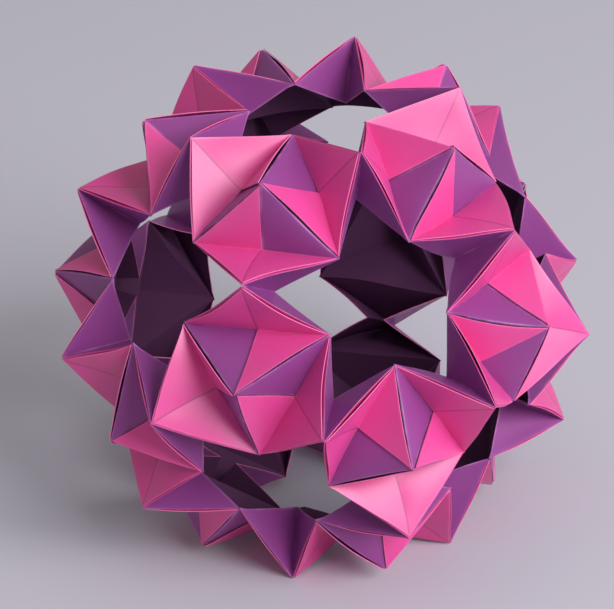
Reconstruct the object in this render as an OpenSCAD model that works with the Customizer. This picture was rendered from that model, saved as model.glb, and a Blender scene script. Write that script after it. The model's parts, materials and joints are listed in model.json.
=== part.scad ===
// Star ball of thirty folded paper modules, standing on the five tips round one window.
// Every module is one square sheet, pink on one face and purple on the other, folded to a
// two-legged hat: two square kites that meet at a sharp tip, each with a tab and a pocket.
// Three modules make a square corner (20 of them), and five make a star window (12 of them).

/* [Sheet] */
// Side of the square that each module is folded from
sheet_side = 100; // [60:1:200]
// Thickness of a pressed double layer of paper
ply = 0.3; // [0.15:0.05:0.4]

/* [Folding] */
// Angle between the two ridges that a window side of a tip is pinched to
waist_angle = 41.4; // [38:0.2:48]
// How far the loose pink flap stops short of its ridges
flap_setback = 0.4; // [0.2:0.1:0.8]
// Width of the closed seam of a pocket
seam = 0.7; // [0.5:0.1:1.2]
// Slack between a tab and the closed edges of the pocket that holds it
tab_slack = 0.2; // [0.1:0.05:0.5]

/* [Colours] */
// Front of the sheet
pink = "#e5589a"; // ["#e5589a", "#d64a8c", "#f07bb0"]
// Back of the sheet
purple = "#8a3a86"; // ["#8a3a86", "#6f2f78", "#9a4a96"]

/* [Hidden] */

t = ply;
lap = 0.01;                      // plates run this far into each other at a fold
edge_back = 1.5 * t;             // a wall's folded edge clears the next module by this much
golden = (1 + sqrt(5)) / 2;
ridge = sheet_side / 4;          // every mountain ridge of a module
half_diag = ridge / sqrt(2);     // half of a kite's valley, and a window wall's short sides

// Angles of the ball, from the axis of a five-module window to the axes of modules
axis_in = atan(1 / golden);              // 31.72, to its own five modules
corner_to_tip = atan(1 / golden ^ 2);    // 20.91, from a three-module corner to a tip
axis_out = 90 - axis_in;                 // 58.28, to the next five
tilt = axis_in;                          // lean of the belt modules

// A module in its own frame: ball centre at the origin, tip on +Z, its two corners towards
// +X and -X. The valley of a kite runs from V to V mirrored in Y through its middle M.
mx = ridge * sin(waist_angle / 2);
level = (mx + ridge * cos(corner_to_tip) / sqrt(6)) / sin(corner_to_tip);
mz = level * cos(corner_to_tip) + ridge * sin(corner_to_tip) / sqrt(6);
rise = sqrt(half_diag ^ 2 - mx ^ 2);
tip_r = mz + rise;
corner_r = level + ridge / sqrt(3);

M = [mx, 0, mz];
VR = [mx, half_diag, mz];
VL = [mx, -half_diag, mz];
K = [0, 0, tip_r];
C = corner_r * [sin(corner_to_tip), 0, cos(corner_to_tip)];
// Foot of a window wall: half_diag from the tip and from V, on the module's middle plane
foot_drop = 2 * rise * half_diag ^ 2 / (rise ^ 2 + half_diag ^ 2);
P = [0, (half_diag ^ 2 - rise * foot_drop) / half_diag, tip_r - foot_drop];

function unit(v) = v / norm(v);

// The square corner's three faces: own, left neighbour's and right neighbour's
to_corner = unit(C - M);
n_left = unit(C - VR);
n_right = unit(C - VL);
n_own = let (n = unit(cross(n_left, n_right))) n * C > 0 ? n : -n;
// The tip's pink face and the window wall on +Y
n_pink = let (n = unit(cross(VR - K, VL - K))) n * K > 0 ? n : -n;
n_wall = let (n = unit(cross(P - K, VR - K))) n[0] < 0 ? n : -n;
// The plane that halves a kite's valley, facing the tip
half_open = acos(to_corner * unit(K - M)) / 2;
q_valley = cos(half_open) * n_own - sin(half_open) * to_corner;
// The same plane of the left neighbour, seen from this module
left_in = unit(n_own + n_right);
q_left = cos(half_open) * n_left - sin(half_open) * left_in;
// Mirror planes through the ball's centre that part a module from its neighbours
q_mirror_r = let (n = unit(cross(C, VR))) n[1] > 0 ? n : -n;

function flip_y(v) = [v[0], -v[1], v[2]];
n_wall_l = flip_y(n_wall);
q_mirror_l = flip_y(q_mirror_r);
// Mitre between the pink face and a wall, facing the wall
function mitre(n_a, n_b, line, towards) =
    let (m = unit(cross(unit(line), unit(n_a + n_b))))
    m * towards > 0 ? m : -m;
mitre_r = mitre(n_pink, n_wall, VR - K, P - K);
mitre_l = flip_y(mitre_r);

// Point on three planes, each [normal, offset]
function meet(a, b, c) =
    (a[1] * cross(b[0], c[0]) + b[1] * cross(c[0], a[0]) + c[1] * cross(a[0], b[0]))
    / (a[0] * cross(b[0], c[0]));

// The ball stands on the tips of five modules: the furthest point of a tip towards the floor
floor_dir = [0, sin(axis_in), cos(axis_in)];
tip_ends = [
    K,
    meet([n_wall, n_wall * K], [-mitre_r, lap - mitre_r * K], [[-1, 0, 0], 2 * lap]),
    meet([n_wall_l, n_wall_l * K], [-mitre_l, lap - mitre_l * K], [[-1, 0, 0], 2 * lap])
];
stand = max([for (e = tip_ends) e * floor_dir]);

// A flat plate between two levels over the plane (n, at). Each side is [normal out, point,
// shift out], and the sides run anticlockwise as seen from outside.
module plate(n, at, lo, hi, sides) {
    k = len(sides);
    for (i = [0:k - 1])
        assert(cross(sides[i][0], sides[(i + 1) % k][0]) * n > 0, "sides run the wrong way round");
    planes = [for (s = sides) [s[0], s[0] * s[1] + s[2]]];
    bottom = [for (i = [0:k - 1]) meet([n, n * at + lo], planes[i], planes[(i + 1) % k])];
    top = [for (i = [0:k - 1]) meet([n, n * at + hi], planes[i], planes[(i + 1) % k])];
    polyhedron(
        points = concat(bottom, top),
        faces = concat(
            [[for (i = [0:k - 1]) i]],
            [[for (i = [0:k - 1]) 2 * k - 1 - i]],
            [for (i = [0:k - 1]) [i, i + k, (i + 1) % k + k, (i + 1) % k]]
        ),
        convexity = 2
    );
}

// Everything on the outer side of a plane, to a sheet's width
module beyond(n, at) {
    u = unit(abs(n[0]) < 0.9 ? cross(n, [1, 0, 0]) : cross(n, [0, 1, 0]));
    v = cross(n, u);
    w = 2 * sheet_side;
    plate(n, at, 0, w, [[u, at, w], [v, at, w], [-u, at, w], [-v, at, w]]);
}

// Square-corner face of a kite, with its ridge that laps over the left neighbour
module corner_face() {
    color(purple)
    difference() {
        plate(n_own, C, -t, 0, [
            [n_left, C, t],
            [n_right, C, -t],
            [q_valley, M, lap]
        ]);
        beyond(q_left, VL - lap * q_left);
    }
}

// Tab: the same face turned down over the ridge, into the left neighbour's pocket
module tab() {
    inward = unit(n_own + n_right);
    across = unit(n_right - n_own);
    color(purple)
    plate(n_left, C, 0, t - lap, [
        [across, C, -seam - tab_slack],
        [n_own, C, -lap],
        [-inward, VL, -seam - tab_slack]
    ]);
}

// Pocket: the pink flap over the right half of the face, closed along its folded edge, and
// along the valley where it runs on into the flap of the tip face
module pocket() {
    across = unit(n_left - n_right);
    color(pink) {
        plate(n_own, C, t, 2 * t, [
            [across, C, 0],
            [n_right, C, 0],
            [q_valley, M, 0.8 * t]
        ]);
        plate(n_own, C, -t / 2, 2 * t - lap, [
            [across, C, -lap],
            [n_right, C, -t - lap],
            [-across, C, seam],
            [q_valley, M, 2 * lap]
        ]);
    }
}

// Pink face from the valley up to the tip
module tip_face() {
    color(pink)
    plate(n_pink, K, -t, 0, [
        [-q_valley, M, 0],
        [mitre_r, K, 0],
        [mitre_l, K, 0]
    ]);
}

// The loose flap that lies on the tip face, a little short of its ridges
module tip_flap() {
    side_r = let (m = unit(cross(VR - K, n_pink))) m[1] > 0 ? m : -m;
    color(pink)
    plate(n_pink, K, -t / 2, t, [
        [-q_valley, M, -lap],
        [side_r, K, -flap_setback],
        [flip_y(side_r), K, -flap_setback]
    ]);
}

// The two window walls that drop from the tip's ridges to their feet
module window_walls() {
    edge = let (m = unit(cross(VR - P, n_wall))) m * (K - P) < 0 ? m : -m;
    color(purple) {
        plate(n_wall, K, -t, 0, [
            [-mitre_r, K, lap],
            [edge, P, -edge_back],
            [[-1, 0, 0], K, lap]
        ]);
        plate(n_wall_l, K, -t, 0, [
            [[-1, 0, 0], K, 2 * lap],
            [flip_y(edge), flip_y(P), -edge_back],
            [-mitre_l, K, lap]
        ]);
    }
}

// Half a module: one kite with its tab, pocket and walls
module half_module() {
    corner_face();
    tab();
    pocket();
    tip_flap();
    window_walls();
    difference() {
        tip_face();
        beyond(q_mirror_r, -lap * q_mirror_r);
        beyond(q_mirror_l, -lap * q_mirror_l);
    }
}

// One folded sheet, about its own tip axis
module sheet_module() {
    half_module();
    rotate([0, 0, 180]) half_module();
}

// A sheet put in its place on the ball: angle down from the top window, angle round it,
// and the turn of its two corners from the meridian
module placed(down, round, turn) {
    translate([0, 0, stand])
    rotate([0, down, round])
    rotate([0, 0, turn])
    sheet_module();
}

module top_module(i) { placed(axis_in, 72 * i, 90); }
module upper_module(i) { placed(axis_out, 36 + 72 * i, 0); }
module belt_module(i) { placed(90, 18 + 36 * i, 90 + (i % 2 == 0 ? tilt : -tilt)); }
module lower_module(i) { placed(180 - axis_out, 72 * i, 0); }
module bottom_module(i) { placed(180 - axis_in, 36 + 72 * i, 90); }

top_module(0);  // top_module_1
top_module(1);  // top_module_2
top_module(2);  // top_module_3
top_module(3);  // top_module_4
top_module(4);  // top_module_5
upper_module(0);  // upper_module_1
upper_module(1);  // upper_module_2
upper_module(2);  // upper_module_3
upper_module(3);  // upper_module_4
upper_module(4);  // upper_module_5
belt_module(0);  // belt_module_1
belt_module(1);  // belt_module_2
belt_module(2);  // belt_module_3
belt_module(3);  // belt_module_4
belt_module(4);  // belt_module_5
belt_module(5);  // belt_module_6
belt_module(6);  // belt_module_7
belt_module(7);  // belt_module_8
belt_module(8);  // belt_module_9
belt_module(9);  // belt_module_10
lower_module(0);  // lower_module_1
lower_module(1);  // lower_module_2
lower_module(2);  // lower_module_3
lower_module(3);  // lower_module_4
lower_module(4);  // lower_module_5
bottom_module(0);  // bottom_module_1
bottom_module(1);  // bottom_module_2
bottom_module(2);  // bottom_module_3
bottom_module(3);  // bottom_module_4
bottom_module(4);  // bottom_module_5
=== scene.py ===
"""Dresses the folded paper star ball: thirty two-tone modules, a pale floor and soft light."""

import copy
import json
import math
import random

import bpy
from mathutils import Matrix, Vector
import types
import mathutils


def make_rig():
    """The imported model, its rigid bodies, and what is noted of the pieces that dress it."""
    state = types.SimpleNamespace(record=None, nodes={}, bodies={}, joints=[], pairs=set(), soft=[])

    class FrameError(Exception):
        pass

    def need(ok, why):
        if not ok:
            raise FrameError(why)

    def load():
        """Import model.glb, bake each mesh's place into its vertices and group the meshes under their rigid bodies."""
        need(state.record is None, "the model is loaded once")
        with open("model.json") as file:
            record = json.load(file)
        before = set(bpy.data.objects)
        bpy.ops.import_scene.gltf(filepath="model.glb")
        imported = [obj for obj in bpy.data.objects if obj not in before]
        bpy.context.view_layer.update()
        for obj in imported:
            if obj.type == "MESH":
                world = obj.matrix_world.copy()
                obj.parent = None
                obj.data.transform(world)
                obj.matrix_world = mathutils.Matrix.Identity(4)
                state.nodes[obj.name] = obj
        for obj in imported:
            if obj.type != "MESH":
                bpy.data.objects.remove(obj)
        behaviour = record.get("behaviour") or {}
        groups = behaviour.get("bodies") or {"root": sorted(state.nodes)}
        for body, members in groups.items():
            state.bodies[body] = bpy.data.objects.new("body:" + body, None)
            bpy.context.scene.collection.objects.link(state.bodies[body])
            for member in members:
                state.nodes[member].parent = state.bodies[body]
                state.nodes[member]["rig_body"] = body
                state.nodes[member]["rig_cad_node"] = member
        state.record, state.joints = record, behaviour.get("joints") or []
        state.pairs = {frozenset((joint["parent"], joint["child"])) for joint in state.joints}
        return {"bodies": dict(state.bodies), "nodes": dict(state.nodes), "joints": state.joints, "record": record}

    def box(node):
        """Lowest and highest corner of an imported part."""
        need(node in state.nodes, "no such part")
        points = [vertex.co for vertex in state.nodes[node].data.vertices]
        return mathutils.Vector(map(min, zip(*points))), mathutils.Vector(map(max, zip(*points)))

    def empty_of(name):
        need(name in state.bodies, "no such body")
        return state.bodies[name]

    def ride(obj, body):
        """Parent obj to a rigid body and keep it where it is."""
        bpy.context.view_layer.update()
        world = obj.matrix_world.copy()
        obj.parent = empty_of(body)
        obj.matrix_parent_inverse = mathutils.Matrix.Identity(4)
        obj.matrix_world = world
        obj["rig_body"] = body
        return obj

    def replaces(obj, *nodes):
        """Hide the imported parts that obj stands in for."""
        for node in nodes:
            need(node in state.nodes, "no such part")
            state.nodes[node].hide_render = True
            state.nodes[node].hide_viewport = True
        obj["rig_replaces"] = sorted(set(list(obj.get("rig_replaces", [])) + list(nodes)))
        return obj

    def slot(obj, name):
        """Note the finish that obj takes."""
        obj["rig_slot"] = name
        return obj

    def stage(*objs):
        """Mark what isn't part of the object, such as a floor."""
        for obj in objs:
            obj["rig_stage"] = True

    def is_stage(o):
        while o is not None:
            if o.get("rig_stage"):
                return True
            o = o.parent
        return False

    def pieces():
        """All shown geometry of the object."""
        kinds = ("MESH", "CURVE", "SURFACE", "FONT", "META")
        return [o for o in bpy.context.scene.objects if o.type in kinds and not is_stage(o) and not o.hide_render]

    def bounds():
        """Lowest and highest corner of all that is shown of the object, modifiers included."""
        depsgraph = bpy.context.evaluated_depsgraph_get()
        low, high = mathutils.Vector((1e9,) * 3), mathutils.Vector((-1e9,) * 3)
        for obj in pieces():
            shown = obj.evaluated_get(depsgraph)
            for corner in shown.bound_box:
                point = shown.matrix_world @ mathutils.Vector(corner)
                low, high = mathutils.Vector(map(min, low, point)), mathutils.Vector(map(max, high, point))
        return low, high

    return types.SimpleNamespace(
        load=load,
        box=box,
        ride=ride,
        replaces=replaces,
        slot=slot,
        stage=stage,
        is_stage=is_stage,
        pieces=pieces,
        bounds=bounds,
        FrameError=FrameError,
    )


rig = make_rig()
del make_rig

bl_info = {
    "name": "Folded Paper Star Ball",
    "version": (1, 0, 0),
    "blender": (4, 5, 0),
    "location": "3D View > Sidebar > Star Ball",
    "description": "Folds thirty two-tone paper modules over the ball's frame",
    "category": "Object",
}

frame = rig.load()
CAD_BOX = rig.bounds()

BALL = "root"
# Material slots; the last is the dark painted shade of the layers seen from inside the ball
PINK, PURPLE, EDGE, INNER_SHADE = range(4)

# Angles between the upright axis, the windows and the module tips, from the golden ratio
SHORT = 2 / (1 + math.sqrt(5))
AXIS_IN = math.atan(SHORT)
CORNER_TO_TIP = math.atan(SHORT**2)
AXIS_OUT = math.pi / 2 - AXIS_IN

# Shares of a pressed double layer
SHEET_THICK, FLAP_THICK = 0.7, 0.66
RIDGE_OVER = 0.9
FLAP_LOW, FLAP_HIGH = 0.35, 1.3
LIFT_REACH = 18

# Share of its thickness that the sheet keeps where it turns sharply back on itself
SQUEEZED = 0.25
WELD = 1e-5
MODELS, FIRST_SEED = 5, 40
SWAY_GRAIN = 0.028
SWAY_FADE = 0.02

# Where each soft lamp hangs, from the ball's centre, and how wide it is
LAMPS = {
    "window": ((1.12, -1.28, 1.1), 1.2),
    "side": ((1.8, -0.6, 0.55), 1.0),
    "ceiling": ((0.2, -0.2, 2.0), 2.4),
}
FLOOR_SIZE = 6

# Camera where the photograph was taken from, held a little askew
CAMERA_PLACE = (0.00922, -0.72091, 0.38096)
CAMERA_VIEW = (-0.01626, 0.8844, -0.46645)
CAMERA_UP = (0.04958, 0.46665, 0.88305)
SENSOR, LENS = 36, 195.3


# Sizes and colours


class SheetSizes(bpy.types.PropertyGroup):
    """The folded square and how tightly it is folded"""

    side: bpy.props.FloatProperty(
        name="Sheet side", description="Side of the square each module is folded from",
        default=0.1, unit="LENGTH")
    ply: bpy.props.FloatProperty(
        name="Double layer", description="Thickness of a pressed double layer",
        default=0.0003, unit="LENGTH")
    waist: bpy.props.FloatProperty(
        name="Waist angle", description="Angle between the two ridges on a window side of a tip",
        default=math.radians(41.4), unit="ROTATION")
    cells: bpy.props.IntProperty(
        name="Cells", description="Cells along the long side of a facet, an even number",
        default=16, step=2)
    fold_round: bpy.props.FloatProperty(
        name="Fold rounding", description="Width of the rounded band at a mountain fold",
        default=0.0003, unit="LENGTH")
    set_back: bpy.props.FloatProperty(
        name="Flap set-back", description="How far the loose flap's edges stay from the ridges",
        default=0.0005, unit="LENGTH")
    gape: bpy.props.FloatProperty(
        name="Flap gape", description="How far a loose flap edge stands off in its middle",
        default=0.0007, unit="LENGTH")
    belly: bpy.props.FloatProperty(
        name="Belly", description="How far the middle of a facet bows",
        default=0.00035, unit="LENGTH")
    sway: bpy.props.FloatProperty(
        name="Hand sway", description="How far hand folding pulls the ball out of true",
        default=0.0016, unit="LENGTH")


class PaperColours(bpy.types.PropertyGroup):
    """The two faces of the sheet"""

    pink: bpy.props.FloatVectorProperty(
        name="Pink face", description="Colour of the sheet's front", subtype="COLOR",
        size=3, min=0, max=1, default=(0.76, 0.066, 0.315))
    purple: bpy.props.FloatVectorProperty(
        name="Purple face", description="Colour of the sheet's back", subtype="COLOR",
        size=3, min=0, max=1, default=(0.28, 0.052, 0.258))
    # The fold colours stand for paper worn paler at the folds together with a painted highlight where light catches
    # them
    pink_fold_wear_and_highlight: bpy.props.FloatVectorProperty(
        name="Pink fold", description="Colour of the front where folds are worn pale and carry a painted highlight",
        subtype="COLOR", size=3, min=0, max=1, default=(0.90, 0.19, 0.46))
    purple_fold_wear_and_highlight: bpy.props.FloatVectorProperty(
        name="Purple fold", description="Colour of the back where folds are worn pale and carry a painted highlight",
        subtype="COLOR", size=3, min=0, max=1, default=(0.56, 0.22, 0.56))
    # Painted shade: the layers inside the ball are coloured dark for the shade there, not for the paper's own colour
    inside: bpy.props.FloatVectorProperty(
        name="Inside", description="Colour of the folded layers seen from inside the ball",
        subtype="COLOR", size=3, min=0, max=1, default=(0.14, 0.045, 0.13))


class StageLook(bpy.types.PropertyGroup):
    """Floor and light"""

    floor: bpy.props.FloatVectorProperty(
        name="Floor", description="Colour of the floor", subtype="COLOR",
        size=3, min=0, max=1, default=(0.62, 0.60, 0.68))
    window: bpy.props.FloatProperty(
        name="Window light", description="Power of the soft lamp in front",
        default=34.0, unit="POWER")
    side: bpy.props.FloatProperty(
        name="Side light", description="Power of the soft lamp on the right",
        default=9.0, unit="POWER")
    ceiling: bpy.props.FloatProperty(
        name="Ceiling light", description="Power of the wide lamp overhead",
        default=5.2, unit="POWER")
    fill: bpy.props.FloatProperty(
        name="Fill light", description="Strength of the light from all round", default=0.28)


def sizes():
    return bpy.context.scene.sheet_sizes


# Geometry of one module, tip on +Z and its two square corners towards +X and -X


class Fold:
    """Named points and directions of a half module, worked out from the sheet.

    K is the window tip, C the square corner, M the middle of the valley between them, V the
    valley's two ends and P the feet of the window walls. L and R are left and right of a
    reader who looks in from C.
    """

    def __init__(self, s):
        ridge = s.side / 4
        half = ridge / math.sqrt(2)
        mx = ridge * math.sin(s.waist / 2)
        rise = math.sqrt(half**2 - mx**2)
        lean = CORNER_TO_TIP
        level = (mx + ridge * math.cos(lean) / math.sqrt(6)) / math.sin(lean)
        mz = level * math.cos(lean) + ridge * math.sin(lean) / math.sqrt(6)
        foot_drop = 2 * rise * half**2 / (rise**2 + half**2)
        self.M = Vector((mx, 0, mz))
        self.VR = Vector((mx, half, mz))
        self.VL = Vector((mx, -half, mz))
        self.K = Vector((0, 0, mz + rise))
        self.C = Vector((math.sin(lean), 0, math.cos(lean))) * (level + ridge / math.sqrt(3))
        self.PR = Vector((0, (half**2 - rise * foot_drop) / half, self.K.z - foot_drop))
        self.PL = Vector((0, -self.PR.y, self.PR.z))
        self.to_corner = (self.C - self.M).normalized()
        self.to_tip = (self.K - self.M).normalized()
        self.to_right = Vector((0, 1, 0))
        self.n_left = (self.C - self.VR).normalized()
        self.n_right = (self.C - self.VL).normalized()
        self.n_own = self.to_corner.cross(self.to_right)
        self.n_tip = self.to_right.cross(self.to_tip)
        self.n_wall_r = (self.VR - self.K).cross(self.PR - self.K).normalized()
        self.n_wall_l = (self.PL - self.K).cross(self.VL - self.K).normalized()
        # The tab's square corner, on the left neighbour's valley
        self.T = self.C - (self.n_right + self.n_own) * (ridge / 2)

    def turned(self, angle):
        new = copy.copy(self)
        turn = Matrix.Rotation(angle, 3, "Z")
        for key, v in vars(self).items():
            setattr(new, key, turn @ v)
        return new


def placements():
    """Each node's turn from module to ball, as the frame's modules lie."""
    turn = {}

    def put(name, down, round_, spin):
        turn[name] = (Matrix.Rotation(round_, 4, "Z") @ Matrix.Rotation(down, 4, "Y")
                      @ Matrix.Rotation(spin, 4, "Z"))

    fifth = math.radians(72)
    for i in range(5):
        put(f"top_module_{i + 1}", AXIS_IN, fifth * i, math.pi / 2)
        put(f"upper_module_{i + 1}", AXIS_OUT, fifth * (i + 0.5), 0)
        put(f"lower_module_{i + 1}", math.pi - AXIS_OUT, fifth * i, 0)
        put(f"bottom_module_{i + 1}", math.pi - AXIS_IN, fifth * (i + 0.5), math.pi / 2)
    for i in range(10):
        lean = AXIS_IN if i % 2 == 0 else -AXIS_IN
        put(f"belt_module_{i + 1}", math.pi / 2, math.radians(18 + 36 * i), math.pi / 2 + lean)
    return turn


# Modelling helpers


def only(obj):
    bpy.ops.object.select_all(action="DESELECT")
    obj.select_set(True)
    bpy.context.view_layer.objects.active = obj


def drop(obj):
    mesh = obj.data
    bpy.data.objects.remove(obj)
    bpy.data.meshes.remove(mesh)


def copy_of(obj, name, matrix):
    new = obj.copy()
    new.data = obj.data.copy()
    new.name = name
    new.data.name = name
    bpy.context.collection.objects.link(new)
    new.data.transform(matrix)
    return new


def join(objs, name):
    bpy.ops.object.select_all(action="DESELECT")
    for o in objs:
        o.select_set(True)
    bpy.context.view_layer.objects.active = objs[0]
    if len(objs) > 1:
        bpy.ops.object.join()
    objs[0].name = name
    return objs[0]


def apply_modifier(obj, kind, **values):
    only(obj)
    m = obj.modifiers.new(kind.title(), kind)
    for k, v in values.items():
        setattr(m, k, v)
    bpy.ops.object.modifier_apply(modifier=m.name)


def facet_blank(stock):
    """One right-angled facet of the sheet, with its square corner at the origin.

    It is cut from a grid whose rows run along the long side, so that a mountain fold there
    can be rounded cleanly. Its own x and y are shares of the two short sides.
    """
    n = sizes().cells
    bpy.ops.object.select_all(action="DESELECT")
    bpy.ops.mesh.primitive_grid_add(
        x_subdivisions=n, y_subdivisions=n // 2, size=1, location=(0.5, 0.5, 0))
    obj = bpy.context.object
    obj.name = "facet_blank"
    bpy.ops.object.transform_apply(location=True)
    bpy.ops.object.mode_set(mode="EDIT")
    for corner, way in ((0, -0.5), (1, 0.5)):
        bpy.ops.mesh.select_all(action="SELECT")
        bpy.ops.mesh.bisect(plane_co=(corner, 0, 0), plane_no=(1, way, 0), threshold=WELD,
                            clear_inner=corner == 0, clear_outer=corner == 1)
    bpy.ops.object.mode_set(mode="OBJECT")
    obj.data.transform(Matrix(((-1, -0.5, 0, 1), (1, -0.5, 0, 0), (0, 0, 1, 0), (0, 0, 0, 1))))
    for m in stock:
        obj.data.materials.append(m)
    # Place on the facet and its marks, so that a finish can follow the folds
    obj.data.uv_layers.active.name = "facet"
    obj.data.uv_layers.new(name="pressed")
    for loop, place in zip(obj.data.loops, obj.data.uv_layers["facet"].data):
        place.uv = obj.data.vertices[loop.vertex_index].co.xy
    return obj


def lay(blank, square, first, second, facing, face, belly=0.0, crease=0, inside=0):
    """A copy of the blank with its square corner at square, facing out, bowed by belly.

    The bow, 27 times the product of the three shares, is whole in the facet's middle. A
    creased facet carries a pressed-in fold along its side towards first, drawn with a
    painted dark line of shade; a facet marked inside lies in a pocket, where little
    light gets, and is darkened with painted shade.
    """
    x, y = first - square, second - square
    n = x.cross(y).normalized()
    side = 1 if n.dot(facing) > 0 else -1
    new = blank.copy()
    new.data = blank.data.copy()
    bpy.context.collection.objects.link(new)
    for v in new.data.vertices:
        u, w = v.co.x, v.co.y
        v.co.z += side * belly * 27 * u * w * max(0.0, 1 - u - w)
    for loop in new.data.uv_layers["pressed"].data:
        loop.uv = (crease, inside)
    for p in new.data.polygons:
        p.material_index = face
    m = Matrix((x, y, n)).transposed().to_4x4()
    m.translation = square
    new.data.transform(m)
    if side < 0:
        new.data.flip_normals()
    return new


def thicken(obj, thickness, back, **choices):
    """Gives a sheet its thickness; its back and its cut rim get papers of their own."""
    n = len(obj.data.polygons)
    apply_modifier(obj, "SOLIDIFY", thickness=thickness, use_even_offset=True,
                   thickness_clamp=1.0, **choices)
    for p in obj.data.polygons[n:2 * n]:
        p.material_index = back
    for p in obj.data.polygons[2 * n:]:
        p.material_index = EDGE


def on_line(p, a, b, slack=2e-5):
    d = b - a
    t = max(0.0, min(1.0, (p - a).dot(d) / d.length_squared))
    return (a + d * t - p).length < slack


def select_lines(obj, lines):
    """Selects the edges that lie on any of the lines, each given by its two ends."""
    only(obj)
    bpy.ops.object.mode_set(mode="EDIT")
    bpy.ops.mesh.select_mode(type="EDGE")
    bpy.ops.mesh.select_all(action="DESELECT")
    bpy.ops.object.mode_set(mode="OBJECT")
    at = [v.co for v in obj.data.vertices]
    for e in obj.data.edges:
        e.select = any(on_line(at[e.vertices[0]], a, b) and on_line(at[e.vertices[1]], a, b)
                       for a, b in lines)


def merge(obj):
    only(obj)
    bpy.ops.object.mode_set(mode="EDIT")
    bpy.ops.mesh.select_all(action="SELECT")
    bpy.ops.mesh.remove_doubles(threshold=WELD)
    bpy.ops.object.mode_set(mode="OBJECT")


def round_folds(obj, folds, width, steps):
    select_lines(obj, folds)
    bpy.ops.object.mode_set(mode="EDIT")
    bpy.ops.mesh.bevel(offset=width, offset_type="OFFSET", segments=steps, affect="EDGES")
    bpy.ops.object.mode_set(mode="OBJECT")


def press_folds(obj, folds):
    """Keeps the fold lines crisp when the faces are smoothed."""
    select_lines(obj, folds)
    bpy.ops.object.mode_set(mode="EDIT")
    bpy.ops.mesh.mark_sharp()
    bpy.ops.object.mode_set(mode="OBJECT")


def lift_edge(obj, a, b, way, height, reach):
    """Raises a free edge: a hump along a to b that dies away over reach."""
    d = b - a
    for v in obj.data.vertices:
        t = (v.co - a).dot(d) / d.length_squared
        off = (v.co - a - d * t).length
        if 0 < t < 1 and off < reach:
            v.co += way * height * math.sin(math.pi * t) * (1 - off / reach) ** 2


# One folded module


def main_sheet(blank, f_pair, rng):
    """Corner faces, tabs, tip faces and window walls, folded from one sheet."""
    s = sizes()
    tiles, corner_ridges, tip_ridges, creases = [], [], [], []

    def bow(share):
        return share * s.belly * rng.uniform(0.6, 1.3)

    for f in f_pair:
        # The left ridge stands a layer out, over the left neighbour; the right one lies under
        over = f.n_left * s.ply * RIDGE_OVER
        c, vl = f.C + over, f.VL + over
        c_under = f.C - f.n_right * s.ply
        tiles += [
            lay(blank, f.M, c, vl, f.n_own, PURPLE, bow(0.8)),
            lay(blank, f.M, c_under, f.VR, f.n_own, PURPLE),
            # The tab lies in the neighbour's pocket and is darkened with painted shade
            lay(blank, f.T + over, c, vl, f.n_left, PURPLE, inside=1),
            lay(blank, f.M, f.K, vl, f.n_tip, PINK),
            lay(blank, f.M, f.K, f.VR, f.n_tip, PINK),
            lay(blank, f.PR, f.K, f.VR, f.n_wall_r, PURPLE, bow(-0.8)),
            lay(blank, f.PL, f.K, vl, f.n_wall_l, PURPLE, bow(-0.8)),
        ]
        corner_ridges.append((c, vl))
        tip_ridges += [(f.K, vl), (f.K, f.VR)]
        creases += [(f.M, vl), (f.M, f.VR), (f.K, f.PR), (f.K, f.PL)]
    sheet = join(tiles, "main_sheet")
    merge(sheet)
    press_folds(sheet, creases)
    round_folds(sheet, corner_ridges + tip_ridges, s.fold_round, 3)
    # The paper is squeezed thin where it turns sharply back on itself
    full = sheet.vertex_groups.new(name="full")
    for v in sheet.data.vertices:
        sharp = any(on_line(v.co, a, b, s.fold_round * 1.5) for a, b in tip_ridges)
        full.add([v.index], SQUEEZED if sharp else 1.0, "REPLACE")
    # The sheet's inner face takes the dark material of painted shade
    thicken(sheet, s.ply * SHEET_THICK, INNER_SHADE, offset=-1, vertex_group="full")
    sheet.vertex_groups.clear()
    return sheet


def pocket_flap(blank, f, rng):
    """The loose pink flap: it covers the tip face and makes the pocket on the right."""
    s = sizes()
    low, high = s.ply * FLAP_LOW, s.ply * FLAP_HIGH
    valley = valley_shift(f, low, high)
    back = s.set_back
    m = f.M + valley
    k = f.K + f.n_tip * low - f.to_tip * back * 1.5
    vr = f.VR + valley - f.to_right * back
    vl = f.VL + f.n_tip * low + f.to_right * back
    c = f.C + f.n_own * high - f.to_corner * back * 0.6

    def bow():
        return s.belly * rng.uniform(0.6, 1.4)

    flap = join([
        # The two tip facets carry the crease from m to k, drawn as a painted dark line of shade
        lay(blank, m, k, vl, f.n_tip, PINK, bow(), crease=1),
        lay(blank, m, k, vr, f.n_tip, PINK, bow(), crease=1),
        lay(blank, m, c, vr, f.n_own, PINK, bow()),
    ], "pocket_flap")
    merge(flap)
    press_folds(flap, [(m, k), (m, vr)])
    for a, b, way in ((c, vr, f.n_own), (k, vr, f.n_tip), (k, vl, f.n_tip)):
        lift_edge(flap, a, b, way, s.gape * rng.uniform(0.4, 1.0), s.ply * LIFT_REACH)
    thicken(flap, s.ply * FLAP_THICK, PINK, offset=1)
    return flap


def valley_shift(f, low, high):
    """The valley's move when a layer lies low on the tip face and high on the corner face."""
    a, b = f.n_tip, f.n_own
    c = a.dot(b)
    return (a * (low - high * c) + b * (high - low * c)) / (1 - c * c)


def folded_module(name, blank, seed):
    rng = random.Random(seed)
    near = Fold(sizes())
    far = near.turned(math.pi)
    return join([
        main_sheet(blank, (near, far), rng),
        pocket_flap(blank, near, rng),
        pocket_flap(blank, far, rng),
    ], name)


def ball_centre():
    """The ball's centre above the floor, halfway between its lowest and highest modules."""
    return (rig.box("bottom_module_1")[0][2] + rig.box("top_module_1")[1][2]) / 2


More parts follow.
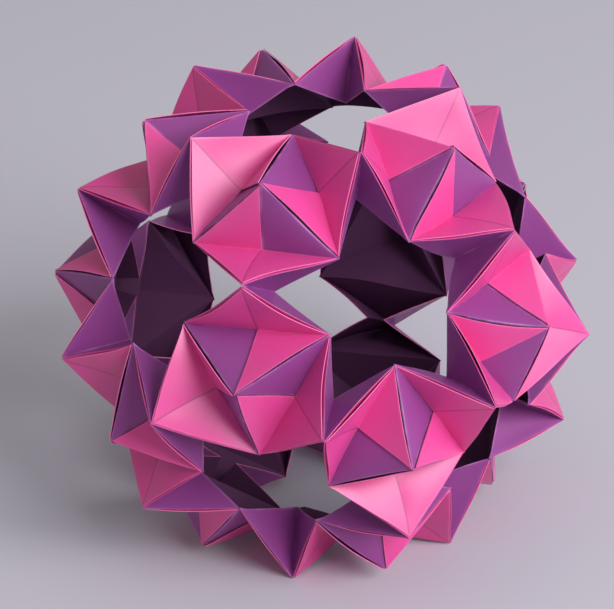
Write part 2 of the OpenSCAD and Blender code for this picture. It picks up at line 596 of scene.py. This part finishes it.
def hand_sway(obj):
    """Pulls the ball gently out of true with one smooth field that leaves feet and crown alone."""
    s = sizes()
    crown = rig.box("top_module_1")[1][2]
    group = obj.vertex_groups.new(name="free")
    for v in obj.data.vertices:
        reach = min(v.co.z, crown - v.co.z) / SWAY_FADE
        group.add([v.index], min(1.0, max(0.0, reach)), "REPLACE")
    tex = bpy.data.textures.get("sway") or bpy.data.textures.new("sway", "CLOUDS")
    tex.cloud_type = "COLOR"
    tex.noise_scale = SWAY_GRAIN
    tex.noise_depth = 0
    apply_modifier(obj, "DISPLACE", texture=tex, texture_coords="GLOBAL", direction="RGB_TO_XYZ",
                   strength=s.sway * 2, mid_level=0.5, vertex_group="free")
    obj.vertex_groups.clear()


# Materials


def paper_grain_group():
    """Fibres and mottling of dyed craft paper, with fold lines worn paler and carrying a painted highlight, and
    painted shade down creases and in pockets.
    """
    if "Paper grain" in bpy.data.node_groups:
        return bpy.data.node_groups["Paper grain"]
    g = bpy.data.node_groups.new("Paper grain", "ShaderNodeTree")
    for kind, name, default in (
        ("Color", "Colour", (0.8, 0.1, 0.3, 1)), ("Color", "Fold colour", (1, 0.5, 0.7, 1)),
        ("Float", "Fold width", 0.03), ("Float", "Fold amount", 0.5),
        ("Float", "Mottle", 0.12), ("Float", "Roughness", 0.45),
    ):
        g.interface.new_socket(
            name=name, in_out="INPUT", socket_type="NodeSocket" + kind).default_value = default
    for kind, name in (("Color", "Colour"), ("Float", "Roughness"), ("Float", "Height")):
        g.interface.new_socket(name=name, in_out="OUTPUT", socket_type="NodeSocket" + kind)
    n, link = g.nodes, g.links.new
    gin, gout = n.new("NodeGroupInput"), n.new("NodeGroupOutput")
    coord = n.new("ShaderNodeTexCoord")

    def maths(operation, a, b, clamp=False):
        m = n.new("ShaderNodeMath")
        m.operation = operation
        m.use_clamp = clamp
        for i, v in enumerate((a, b)):
            if isinstance(v, (int, float)):
                m.inputs[i].default_value = v
            else:
                link(v, m.inputs[i])
        return m.outputs[0]

    def add(a, b, clamp=False):
        return maths("ADD", a, b, clamp)

    def less(a, b, clamp=False):
        return maths("SUBTRACT", a, b, clamp)

    def times(a, b, clamp=False):
        return maths("MULTIPLY", a, b, clamp)

    def noise(scale, detail, rough=0.6):
        t = n.new("ShaderNodeTexNoise")
        t.inputs["Scale"].default_value = scale
        t.inputs["Detail"].default_value = detail
        t.inputs["Roughness"].default_value = rough
        link(coord.outputs["Object"], t.inputs["Vector"])
        return t.outputs["Fac"]

    place, pressed = n.new("ShaderNodeUVMap"), n.new("ShaderNodeUVMap")
    place.uv_map, pressed.uv_map = "facet", "pressed"
    at, marks = n.new("ShaderNodeSeparateXYZ"), n.new("ShaderNodeSeparateXYZ")
    link(place.outputs[0], at.inputs[0])
    link(pressed.outputs[0], marks.inputs[0])
    creased, inside = marks.outputs[0], marks.outputs[1]

    # Fold wear and painted highlight: distance to the nearest folded edge, in facet widths; a crease is no such edge
    slant = times(less(1.0, add(at.outputs[0], at.outputs[1])), 0.7071)
    dist = maths("MINIMUM", at.outputs[0], slant)
    dist = maths("MINIMUM", dist, add(at.outputs[1], creased))
    dist = add(dist, times(less(noise(420, 2), 0.5), 0.02))
    edge = less(1.0, maths("DIVIDE", dist, gin.outputs["Fold width"]), clamp=True)
    edge = times(edge, times(less(noise(190, 2), 0.33), 3.0), clamp=True)
    edge = times(edge, gin.outputs["Fold amount"], clamp=True)

    # Painted shade: a dark line down the bottom of a pressed crease, and the inside of a pocket darkened because
    # little light gets there
    crease_shade = less(1.0, maths("DIVIDE", at.outputs[1], 0.02), clamp=True)
    crease_shade = times(crease_shade, creased, clamp=True)

    fine, broad = noise(2600, 3, 0.7), noise(55, 3, 0.55)
    tone = add(times(less(broad, 0.5), 1.6), times(less(fine, 0.5), 0.9))
    gain = add(1.0, times(tone, gin.outputs["Mottle"]))
    gain = times(gain, less(1.0, times(crease_shade, 0.4)))
    gain = times(gain, less(1.0, times(inside, 0.75)))
    hsv = n.new("ShaderNodeHueSaturation")
    link(gin.outputs["Colour"], hsv.inputs["Color"])
    link(gain, hsv.inputs["Value"])
    mix = n.new("ShaderNodeMix")
    mix.data_type = "RGBA"
    link(edge, mix.inputs["Factor"])
    link(hsv.outputs[0], mix.inputs[6])
    link(gin.outputs["Fold colour"], mix.inputs[7])
    link(mix.outputs[2], gout.inputs["Colour"])
    dull = add(times(less(fine, 0.5), 0.25), times(inside, 0.5))
    link(add(gin.outputs["Roughness"], dull), gout.inputs["Roughness"])
    link(add(times(fine, 0.5), times(broad, 0.5)), gout.inputs["Height"])
    return g


def paper(name, colour, fold_wear_and_highlight_colour, amount, rough, shine):
    """Dyed paper of one colour, paler along its folds by the amount given: worn paler there, with a painted highlight
    on top.
    """
    m = bpy.data.materials.get(name) or bpy.data.materials.new(name)
    m.use_nodes = True
    t = m.node_tree
    b = t.nodes["Principled BSDF"]
    g = t.nodes.new("ShaderNodeGroup")
    g.node_tree = paper_grain_group()
    g.inputs["Colour"].default_value = (*colour, 1)
    g.inputs["Fold colour"].default_value = (*fold_wear_and_highlight_colour, 1)
    g.inputs["Fold amount"].default_value = amount
    g.inputs["Roughness"].default_value = rough
    b.inputs["Specular IOR Level"].default_value = shine
    t.links.new(g.outputs["Colour"], b.inputs["Base Color"])
    t.links.new(g.outputs["Roughness"], b.inputs["Roughness"])
    bump = t.nodes.new("ShaderNodeBump")
    bump.inputs["Strength"].default_value = 0.25
    bump.inputs["Distance"].default_value = 0.00012
    t.links.new(g.outputs["Height"], bump.inputs["Height"])
    t.links.new(bump.outputs[0], b.inputs["Normal"])
    return m


def papers():
    c = bpy.context.scene.paper_colours
    pink = paper("Pink paper", c.pink, c.pink_fold_wear_and_highlight, 0.5, 0.36, 0.6)
    purple = paper("Purple paper", c.purple, c.purple_fold_wear_and_highlight, 0.7, 0.42, 0.45)
    # The cut rim takes the pale fold colour: paper worn pale at its edge plus a painted highlight
    edge = paper("Cut paper edge", c.pink_fold_wear_and_highlight, c.pink_fold_wear_and_highlight, 0.0, 0.6, 0.3)
    # The layers seen from inside the ball get a dark colour of their own: painted shade
    inside = paper("Inside of the folds", c.inside, c.inside, 0.0, 0.7, 0.2)
    return pink, purple, edge, inside


# Operators


class STARBALL_OT_modules(bpy.types.Operator):
    """Fold the thirty paper modules and set each one in its place on the ball"""

    bl_idname = "star_ball.modules"
    bl_label = "Fold Modules"

    def execute(self, context):
        blank = facet_blank(papers())
        models = [folded_module(f"module_model_{k}", blank, FIRST_SEED + k)
                  for k in range(MODELS)]
        centre = Matrix.Translation((0, 0, ball_centre()))
        for k, (node, turn) in enumerate(placements().items()):
            piece = copy_of(models[k * 7 % MODELS], "paper_" + node, centre @ turn)
            hand_sway(piece)
            only(piece)
            bpy.ops.object.shade_smooth_by_angle(angle=math.radians(32))
            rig.ride(piece, BALL)
            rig.replaces(piece, node)
            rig.slot(piece, "pink_paper")
        for m in models + [blank]:
            drop(m)
        return {"FINISHED"}


class STARBALL_OT_stage(bpy.types.Operator):
    """Lay the pale floor, hang the soft lamps and set the camera"""

    bl_idname = "star_ball.stage"
    bl_label = "Set Stage"

    def execute(self, context):
        scene = context.scene
        look = scene.stage_look
        bpy.ops.object.select_all(action="DESELECT")
        bpy.ops.mesh.primitive_plane_add(size=FLOOR_SIZE, location=(0, 0, 0))
        floor = context.object
        floor.name = "floor"
        m = bpy.data.materials.new("Pale floor")
        m.use_nodes = True
        b = m.node_tree.nodes["Principled BSDF"]
        b.inputs["Base Color"].default_value = (*look.floor, 1)
        b.inputs["Roughness"].default_value = 0.9
        b.inputs["Specular IOR Level"].default_value = 0.1
        floor.data.materials.append(m)
        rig.stage(floor)

        aim = Vector((0, 0, ball_centre()))
        for name, (place, size) in LAMPS.items():
            place = aim + Vector(place)
            data = bpy.data.lights.new(name + "_light", "AREA")
            data.shape = "DISK"
            data.size = size
            data.energy = getattr(look, name)
            lamp = bpy.data.objects.new(name + "_light", data)
            lamp.location = place
            lamp.rotation_euler = (aim - place).to_track_quat("-Z", "Y").to_euler()
            scene.collection.objects.link(lamp)
        world = scene.world or bpy.data.worlds.new("World")
        scene.world = world
        world.use_nodes = True
        bg = world.node_tree.nodes["Background"]
        bg.inputs["Color"].default_value = (1, 1, 1, 1)
        bg.inputs["Strength"].default_value = look.fill
        scene.view_settings.view_transform = "Standard"

        view = Vector(CAMERA_VIEW).normalized()
        right = view.cross(Vector(CAMERA_UP)).normalized()
        turn = Matrix((right, right.cross(view), -view)).transposed().to_4x4()
        data = bpy.data.cameras.new("camera")
        data.sensor_width = SENSOR
        data.lens = LENS
        camera = bpy.data.objects.new("camera", data)
        camera.matrix_world = Matrix.Translation(aim + Vector(CAMERA_PLACE)) @ turn
        scene.collection.objects.link(camera)
        scene.camera = camera
        return {"FINISHED"}


class STARBALL_PT_panel(bpy.types.Panel):
    bl_label = "Star Ball"
    bl_idname = "STARBALL_PT_panel"
    bl_space_type = "VIEW_3D"
    bl_region_type = "UI"
    bl_category = "Star Ball"

    def draw(self, context):
        scene = context.scene
        for group in (scene.sheet_sizes, scene.paper_colours, scene.stage_look):
            box = self.layout.box()
            for key in group.__annotations__:
                box.prop(group, key)
        self.layout.operator(STARBALL_OT_modules.bl_idname)
        self.layout.operator(STARBALL_OT_stage.bl_idname)


CLASSES = (
    SheetSizes, PaperColours, StageLook,
    STARBALL_OT_modules, STARBALL_OT_stage, STARBALL_PT_panel,
)


def register():
    for c in CLASSES:
        bpy.utils.register_class(c)
    bpy.types.Scene.sheet_sizes = bpy.props.PointerProperty(type=SheetSizes)
    bpy.types.Scene.paper_colours = bpy.props.PointerProperty(type=PaperColours)
    bpy.types.Scene.stage_look = bpy.props.PointerProperty(type=StageLook)


def unregister():
    del bpy.types.Scene.stage_look
    del bpy.types.Scene.paper_colours
    del bpy.types.Scene.sheet_sizes
    for c in reversed(CLASSES):
        bpy.utils.unregister_class(c)


def main():
    register()
    bpy.ops.star_ball.modules()
    bpy.ops.star_ball.stage()
    boxes = {"cad": [list(c) for c in CAD_BOX], "visual": [list(c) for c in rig.bounds()]}
    with open("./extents.json", "w") as out:
        json.dump(boxes, out)


if __name__ == "__main__":
    main()
